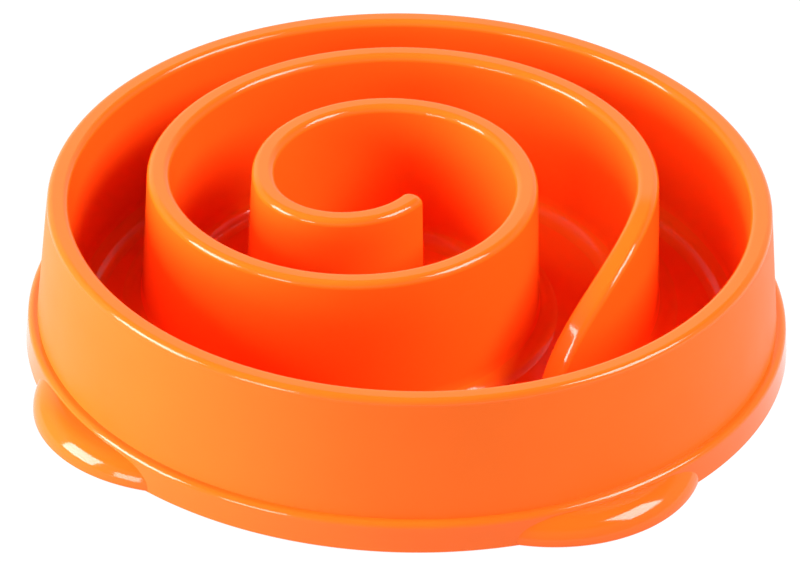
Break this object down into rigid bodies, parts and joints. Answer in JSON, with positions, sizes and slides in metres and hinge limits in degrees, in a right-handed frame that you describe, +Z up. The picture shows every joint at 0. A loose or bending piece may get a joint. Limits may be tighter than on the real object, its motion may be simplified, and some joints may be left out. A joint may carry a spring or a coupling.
{
  "type": "slow feeder bowl",
  "caption": "Round pet bowl with a spiral ridge that rises from the floor to the rim and slows eating, on soft non-slip pads.",
  "frame": {"origin": "on the ground under the middle of the bowl", "axes": "+Z up, -Y the front, the four foot lobes on the diagonals"},
  "size_m": [0.292, 0.292, 0.063],
  "materials": {
    "moulding": "orange polypropylene, polished on the food side, fine satin grain on the outer wall",
    "pad": "matt moulded thermoplastic rubber"
  },
  "bodies": {
    "root": {"bowl_moulding": "moulding", "foot_pad_front_right": "pad", "foot_pad_back_right": "pad", "foot_pad_back_left": "pad", "foot_pad_front_left": "pad"}
  },
  "joints": []
}
